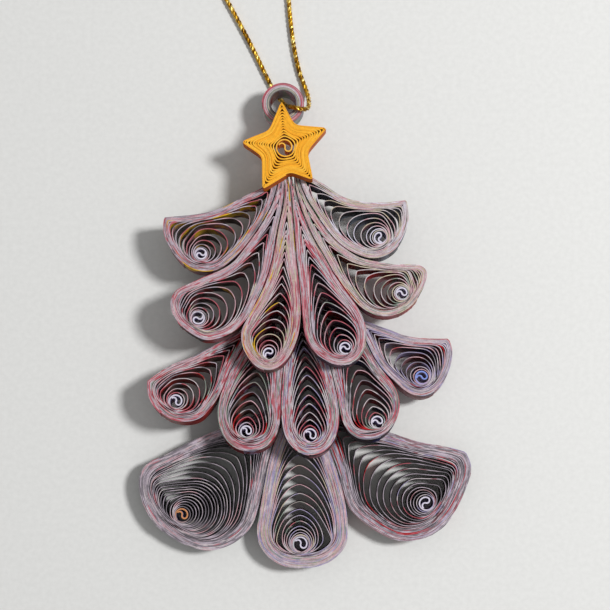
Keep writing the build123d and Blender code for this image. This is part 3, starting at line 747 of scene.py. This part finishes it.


# Printed colours of the strips' cut edges and sides, from 0 to 255, and each one's flat run in its step. The
# near-black coal on the strips' sides is partly print and partly painted shade of the deep, narrow cells
inks = {
    "lilac": (188, 174, 186), "pale": (204, 192, 196), "pink": (204, 164, 172), "rose": (186, 96, 108),
    "red": (176, 28, 34), "sage": (142, 154, 142), "ash": (132, 124, 132), "slate": (86, 84, 96),
    "lavender": (164, 154, 188), "cream": (200, 186, 164), "yellow": (216, 172, 36),
    "orange": (210, 96, 24), "green": (58, 112, 62), "navy": (32, 36, 84), "maroon": (104, 20, 30),
    "coal": (46, 42, 46), "umber": (74, 56, 48), "plum": (96, 62, 84), "steel": (110, 120, 134),
    "mauve": (156, 108, 116), "brick": (150, 40, 34), "taupe": (118, 92, 86), "white": (216, 210, 226),
    "sky": (132, 150, 220), "amber": (206, 140, 90),
}
inkRun = (0.2, 0.8)


def inkStops(names):
    # the inks at equal steps along a ramp
    names = names.split()
    steps = [(index + share, name) for index, name in enumerate(names) for share in inkRun]
    return [(step / len(names), tint(*inks[name])) for step, name in steps]


# Lines that two neighbours in a fan share, from their tips down, in pixels of the photograph
seams = {
    "front1": [(280, 172), (277, 188), (271, 206), (263, 221), (253, 236), (243, 249)],
    "front2": [
        (285, 172), (284.5, 190), (283, 206), (279.5, 221), (273.5, 253), (267, 278), (257, 300), (246, 320),
    ],
    "front3": [(288.5, 172), (290.5, 190), (292, 206), (293.5, 221), (296, 253), (299, 278), (301, 300)],
    "front4": [
        (292, 172), (295.5, 190), (300, 206), (306, 221), (313, 237), (323, 254), (337, 278), (351, 297),
    ],
    "front5": [(297, 172), (303, 190), (311, 206), (320, 220), (333, 237), (347, 249)],
    "middle1": [(258, 321), (249, 337), (241, 351), (233, 365), (222, 390)],
    "middle2": [(293.5, 290), (291, 308), (288, 328), (285, 350), (283, 372), (281.5, 395)],
    "middle3": [(300, 290), (308, 312), (318, 335), (327, 357), (333, 377), (337.5, 398)],
    "middle4": [(326, 300), (342, 311), (357, 326), (367, 343), (374, 357), (383, 370)],
    "back1": [(288, 408), (281, 425), (274.5, 442), (268.5, 462), (263.5, 487)],
    "back2": [(310, 408), (318, 425), (327, 442), (334, 460), (341, 483)],
}


def beside(seam, side):
    # a shared line moved half the gap between two walls to one side
    line = np.array(seams[seam], float)
    place = np.arange(len(line))
    run = unit(line[np.minimum(place + 1, len(line) - 1)] - line[np.maximum(place - 1, 0)])
    shift = side * paper["gap"] / 2 / photo["mmPerPixel"]
    return (line + shift * np.stack([run[:, 1], -run[:, 0]], axis=1)).tolist()


def down(seam):
    return beside(seam, 1)


def up(seam):
    return beside(seam, -1)[::-1]


# How rough the strips' sides and cut edges are, and how strong their grain, bump and speckles
sideFinish = {"roughness": 0.5, "grain": 0.25, "bump": 0.3, "speckle": 0.35}
edgeFinish = {"roughness": 0.85, "grain": 0.2, "bump": 0.5, "speckle": 0.28}
edgeSeed = 41.0


def wallMaterials(name, seed, edges, sides, pattern="Long", core="white"):
    sideCore, edgeCore = tint(*inks["lavender"]), tint(*inks[core])
    side = stripMaterial(name + "Side", seed, "Patches", inkStops(sides), sideCore, sideFinish)
    edge = stripMaterial(name + "Edge", seed + edgeSeed, pattern, inkStops(edges), edgeCore, edgeFinish)
    return [side, edge]


# Each coil's fan, eye, eye's radius and middle line's bow in pixels, its free turns, how fast they spread
# towards the tip, its outline from the tip round to the tip, and the inks of its cut edges and sides
coils = {
    "row1_left_coil": {
        "fan": "front", "eye": (201, 254), "eyeRadius": 6, "bow": -5.5, "turns": 11, "spread": 1.7,
        "roundness": 6, "corner": (164, 217), "cornerSpread": 1.8,
        "outline": [
            [(275, 174), (262, 187), (246, 195), (227, 205), (207, 212), (188, 215), (164, 217)],
            [(164, 217), (163, 228), (170, 248), (180, 261), (191, 269), (204, 272), (217, 270), (229, 262.5)]
            + up("front1"),
        ],
        "edges": "yellow lilac ash pink lilac rose lilac ash orange",
        "sides": "brick taupe coal umber mauve yellow coal red",
    },
    "row1_right_coil": {
        "fan": "front", "eye": (380, 237), "eyeRadius": 6.5, "bow": 8, "turns": 11, "spread": 1.85,
        "roundness": 6, "corner": (407, 199), "cornerSpread": 2.2,
        "outline": [
            down("front5")
            + [(358, 254.5), (370, 258), (383, 256.5), (395, 249), (404, 236), (409, 220), (407, 199)],
            [(407, 199), (393, 201), (376, 202), (356, 200), (341, 195), (328, 186), (316, 179), (303, 172)],
        ],
        "edges": "sage pale pink cream pale pink white pale green",
        "sides": "red coal slate steel coal slate mauve green",
    },
    "row2_left_coil": {
        "fan": "front", "eye": (198, 318), "bow": -20, "turns": 14, "spread": 1.7, "corner": (171, 300),
        "cornerSpread": 0.7, "cornerStart": 0.2,
        "outline": [
            down("front1")
            + [(234, 260.5), (222, 269), (203, 277), (188, 284), (175, 291.5), (170.5, 301), (175, 318)]
            + [(183, 328), (193, 335), (204, 340), (217, 339), (228, 335), (238, 328.5)]
            + up("front2"),
        ],
        "edges": "rose pink pale rose lilac pink lilac ash cream",
        "sides": "yellow coal brick mauve umber maroon taupe orange",
    },
    "row2_inner_left_coil": {
        "fan": "front", "eye": (269, 353), "eyeRadius": 6, "bow": -6, "turns": 18, "spread": 1.35,
        "roundness": 4,
        "outline": [
            down("front2")
            + [(241.5, 331), (241.5, 342), (246, 354), (255, 365), (268, 370.5), (281, 366), (291, 354)]
            + [(297, 340), (300.5, 322)]
            + up("front3"),
        ],
        "edges": "rose pink pale pink cream pink rose pale yellow",
        "sides": "orange mauve taupe maroon mauve brick plum orange",
    },
    "row2_inner_right_coil": {
        "fan": "front", "eye": (345.5, 347.6), "eyeRadius": 6, "bow": 7, "turns": 16, "spread": 1.35,
        "roundness": 4, "shoulder": 0.4,
        "outline": [
            down("front3")
            + [(303, 322), (306, 338), (313, 350), (324, 359.5), (339, 365), (354, 362), (364, 351)]
            + [(367, 336), (363.5, 318)]
            + up("front4"),
        ],
        "edges": "rose pink pale lilac rose pink pale sage cream",
        "sides": "red maroon plum slate mauve navy maroon taupe",
    },
    "row2_right_coil": {
        "fan": "front", "eye": (402, 293), "eyeRadius": 6.5, "bow": 23, "turns": 13, "spread": 1.9,
        "corner": (427, 273), "cornerSpread": 2.4,
        "outline": [
            down("front4")
            + [(363, 308.5), (376, 315), (390, 316), (404, 311), (414, 303), (422, 291), (427, 279)]
            + [(426, 269), (419, 264.5), (400, 264), (385, 262.5), (371, 260), (358, 256)]
            + up("front5"),
        ],
        "edges": "red pink pale cream pink pale sage pink cream",
        "sides": "red rose brick mauve umber brick taupe orange",
    },
    "row3_left_coil": {
        "fan": "middle", "eye": (176, 401), "bow": -2, "turns": 11, "spread": 1.5, "corner": (147, 381),
        "cornerSpread": 0.6, "cornerStart": 0.2,
        "outline": [
            [(254, 321), (248, 325), (236, 333), (222, 341), (206, 349), (191, 357), (173, 364), (147, 381)],
            [(147, 381), (149, 398), (156, 409), (164, 416), (175, 421), (187, 422), (199, 419), (211, 408)]
            + up("middle1"),
        ],
        "edges": "rose pink pale rose lilac ash pink red sage",
        "sides": "red coal taupe brick maroon mauve slate red",
    },
    "row3_inner_left_coil": {
        "fan": "middle", "eye": (246.5, 431), "eyeRadius": 6, "bow": 7, "turns": 14, "spread": 1.3,
        "roundness": 4, "shoulder": 0.5,
        "outline": [
            [(289, 291), (278, 298), (267, 309)]
            + down("middle1")
            + [(217.5, 410), (220, 428), (227, 441), (238, 449)]
            + [(252, 451.5), (266, 447), (276, 436), (280.5, 418)]
            + up("middle2"),
        ],
        "edges": "rose lilac sage pink rose lilac ash pale red",
        "sides": "red coal brick taupe maroon lavender plum red",
    },
    "row3_middle_coil": {
        "fan": "middle", "eye": (310.4, 434.8), "bow": -2.5, "turns": 14, "spread": 1.3, "roundness": 4,
        "shoulder": 0.9,
        "outline": [
            down("middle2")
            + [(281.5, 416), (283.5, 431), (289, 443), (299, 452)]
            + [(311, 455.5), (324, 452), (334, 441), (339.5, 420)]
            + up("middle3"),
        ],
        "edges": "rose pink lavender pale rose pale lilac pink sage",
        "sides": "red maroon plum coal mauve umber lavender brick",
    },
    "row3_inner_right_coil": {
        "fan": "middle", "eye": (377.6, 421.6), "eyeRadius": 6.5, "bow": -8, "turns": 13, "spread": 1.3,
        "roundness": 4, "shoulder": 0.6,
        "outline": [
            down("middle3")
            + [(342, 419), (349, 432), (359.5, 438.5), (371, 439.5)]
            + [(384, 435), (394, 424), (400, 408), (396, 388)]
            + up("middle4") + [(307, 291)],
        ],
        "edges": "red pink lilac ash pale rose sage pink lavender",
        "sides": "red maroon coal navy mauve maroon plum brick",
    },
    "row3_right_coil": {
        "fan": "middle", "eye": (422, 377), "bow": -2, "turns": 12, "spread": 1.6, "core": "sky",
        "corner": (449, 338), "cornerSpread": 1.8,
        "outline": [
            down("middle4")
            + [(394, 381), (406, 391), (420, 396), (435, 391), (445, 380), (451, 366), (453, 350), (449, 338)],
            [(449, 338), (429, 338), (406, 335), (389, 329), (372, 323), (358, 316), (344, 306.5), (330, 298)],
        ],
        "edges": "red pink lilac pale lilac lavender ash pink lilac",
        "sides": "red brick navy maroon mauve lavender maroon red",
    },
    # the back row's sides are mostly coal: partly print, partly painted shade that keeps its deep cells dark
    "row4_left_coil": {
        "fan": "back", "eye": (182, 515), "bow": -1, "turns": 23, "spread": 2.1, "band": 1.7, "sheet": 0.14,
        "core": "amber", "corner": (146, 472), "cornerSpread": 0.5, "cornerStart": 0.2, "lean": (254, 478),
        "outline": [
            [(284, 404), (262, 412), (240, 421), (218, 429.5)]
            + [(189, 442), (160, 457), (147, 463.5), (139.5, 476)]
            + [(142, 501), (154, 523), (171, 538), (189, 547), (208, 551), (227, 547), (243, 537), (254, 522)]
            + [(259, 506)] + up("back1"),
        ],
        "edges": "rose ash pale lilac ash lilac pink pale pink",
        "sides": "maroon coal umber coal coal slate coal coal",
    },
    "row4_middle_coil": {
        "fan": "back", "eye": (300.7, 544), "eyeRadius": 8, "bow": 0.5, "turns": 17, "spread": 1.95,
        "shoulder": 0.3, "band": 2.4, "sheet": 0.155, "legs": 0.45,
        "outline": [
            down("back1")
            + [(259.5, 512), (257, 531), (261, 548), (270, 558.5), (284, 566), (302, 568.5), (322, 566)]
            + [(337, 557.5), (346.5, 545), (348.5, 529), (346.5, 508)]
            + up("back2"),
        ],
        "edges": "rose sage pink pale lavender lilac pink cream pink",
        "sides": "brick maroon coal coal maroon umber coal maroon",
    },
    "row4_right_coil": {
        "fan": "back", "eye": (426, 503), "eyeRadius": 7.5, "bow": 8, "turns": 18, "spread": 1.6,
        "roundness": 7, "band": 1.6, "sheet": 0.145, "corner": (460, 458), "cornerSpread": 0.42,
        "cornerStart": 0.2, "lean": (366, 478),
        "outline": [
            down("back2")
            + [(349, 507.5), (363, 522), (381, 534), (397, 540.5)]
            + [(412, 541), (434, 534), (449, 521), (461, 502)]
            + [(468, 485), (472, 468), (466, 451.5)],
            [(466, 451.5), (450, 447), (418, 441), (396, 434), (380, 429), (352, 419), (332, 410), (315, 404)],
        ],
        "edges": "red rose ash lilac ash lilac mauve pale lavender",
        "sides": "maroon coal maroon coal umber coal brick coal",
    },
}

for order, (name, shape) in enumerate(coils.items()):
    coil = {**usualStrip, **shape}
    coil["eyeRadius"] *= photo["mmPerPixel"]
    runs = [onPlane(run, coil) for run in coil["outline"]]
    eye = onPlane([coil["eye"]], coil)[0]
    tip = (runs[0][0] + runs[-1][-1]) / 2
    spine = Spine(eye, tip, coil["bow"] * photo["mmPerPixel"])
    rim = evenlyAlong(np.concatenate([naturalSpline(run) for run in runs]), winding["rimPoints"])
    arches = [(0.0, np.hypot(*(tip - eye)) * winding["tipShare"], coil["spread"], coil["shoulder"], 0.0)]
    if coil["corner"]:
        corner = onPlane([coil["corner"]], coil)[0]
        cornered = coil["cornerSpread"], winding["cornerShoulder"], coil["cornerStart"]
        arches.append(archTowards(corner, spine, winding["cornerShare"], *cornered))
    if coil["lean"]:
        lean = onPlane([coil["lean"]], coil)[0]
        arches.append(archTowards(lean, spine, winding["cornerShare"], winding["leanSpread"], 0.0))
    plain, seed = name.replace("_", ""), order * winding["printStep"]
    materials = wallMaterials(plain, seed, coil["edges"], coil["sides"], core=coil["core"])
    rng = np.random.default_rng(winding["seed"] + order)
    piece = woundStrip(name + "_strip", coil, rim, spine, arches, coilAngles, materials, rng)
    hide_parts(name)
print("coils")

# The star: one golden strip whose turns keep to the wall and leave a space in each of its five points. The
# outline, in pixels, has points and hollows by turns, and its prints have the inks of its sides and cut edges:
# the sides' darker orange-brown is painted shade of the narrow gaps between the turns, the edges the golden
# paper
starLook = {
    **usualStrip,
    "outline": [
        (281.5, 99), (269, 130), (240, 141.5), (262, 156), (262, 190),
        (290, 172.5), (314.5, 181.5), (308, 151), (329, 127), (295, 124.5),
    ],
    "fan": "star", "depth": 3.0, "eye": (285, 147), "eyeRadius": 2.1, "bow": 0.01, "rimPoints": 900,
    "rounding": 220, "turns": 10, "band": 0.7, "bandPitch": 0.23, "tipShare": 0.88, "spread": 1.0,
    "shoulder": 0.8, "roundness": 12, "wobble": 0.04, "sheet": 0.26, "curlTurns": 0.8, "curlMore": 0,
    "curlShare": 0.7, "curlThick": 0.28, "seed": 7,
    "prints": {
        # the sides' darker orange-brown copy of the golden paper is painted shade of the gaps
        "Side": (
            5.0, "Patches", [(0.0, tint(140, 52, 8)), (0.5, tint(190, 96, 16)), (1.0, tint(214, 124, 24))],
            tint(214, 134, 32), {"roughness": 0.6, "grain": 0.12, "bump": 0.3, "speckle": 0.12},
        ),
        "Edge": (
            9.0, "Long", [(0.0, tint(240, 160, 30)), (0.5, tint(248, 176, 42)), (1.0, tint(250, 190, 62))],
            tint(244, 184, 70), {"roughness": 0.8, "grain": 0.10, "bump": 0.4, "speckle": 0.08},
        ),
    },
}
starPoints = onPlane(starLook["outline"], starLook)
starSpine = Spine(onPlane([starLook["eye"]], starLook)[0], starPoints[0], starLook["bow"])
starRim = evenlyAlong(starPoints, starLook["rimPoints"])
for _ in range(starLook["rounding"]):
    starRim = (np.roll(starRim, 1, 0) + 2 * starRim + np.roll(starRim, -1, 0)) / 4
starArches = [
    archTowards(point, starSpine, starLook["tipShare"], starLook["spread"], starLook["shoulder"])
    for point in starPoints[0::2]
]
starMaterials = [stripMaterial("star" + part, *values) for part, values in starLook["prints"].items()]
star = woundStrip(
    "golden_star", starLook, starRim, starSpine, starArches, evenAngles, starMaterials,
    np.random.default_rng(starLook["seed"]),
)
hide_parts("star")

# The hanging ring: a strip wound tight, with no curl in its middle. The printed colours change with each turn
ringLook = {
    **usualStrip,
    "fan": "front", "middle": (-4.94761, -5.72467), "inner": 2.8, "outer": 4.65, "turns": 11, "sheet": 0.18,
    "unevenStep": 5.0, "unevenTop": 0.2, "seed": 11, "printSeed": 91.0,
    "edges": "umber ash sage cream ash sage pale lilac rose pale rose pink rose rose",
    "sides": "coal umber maroon taupe ash sage pink rose",
}
ringTurns = np.arange(ringLook["turns"])[:, None]
ringShare = ((ringTurns + (evenAngles[None, :] + math.pi) / math.tau) / ringLook["turns"]).ravel()
ringReach = ringLook["inner"] + (ringLook["outer"] - ringLook["inner"]) * ringShare
ringAngle = np.tile(evenAngles, ringLook["turns"])
ringLine = np.array(ringLook["middle"]) + polar(ringReach, ringAngle)
ring = standingStrip(
    "ring_strip", ringLine, np.full(len(ringLine), ringLook["sheet"]), ringLook,
    wallMaterials("ring", ringLook["printSeed"], ringLook["edges"], ringLook["sides"], "Wound", "umber"),
    np.random.default_rng(ringLook["seed"]),
)
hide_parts("hanging_ring")
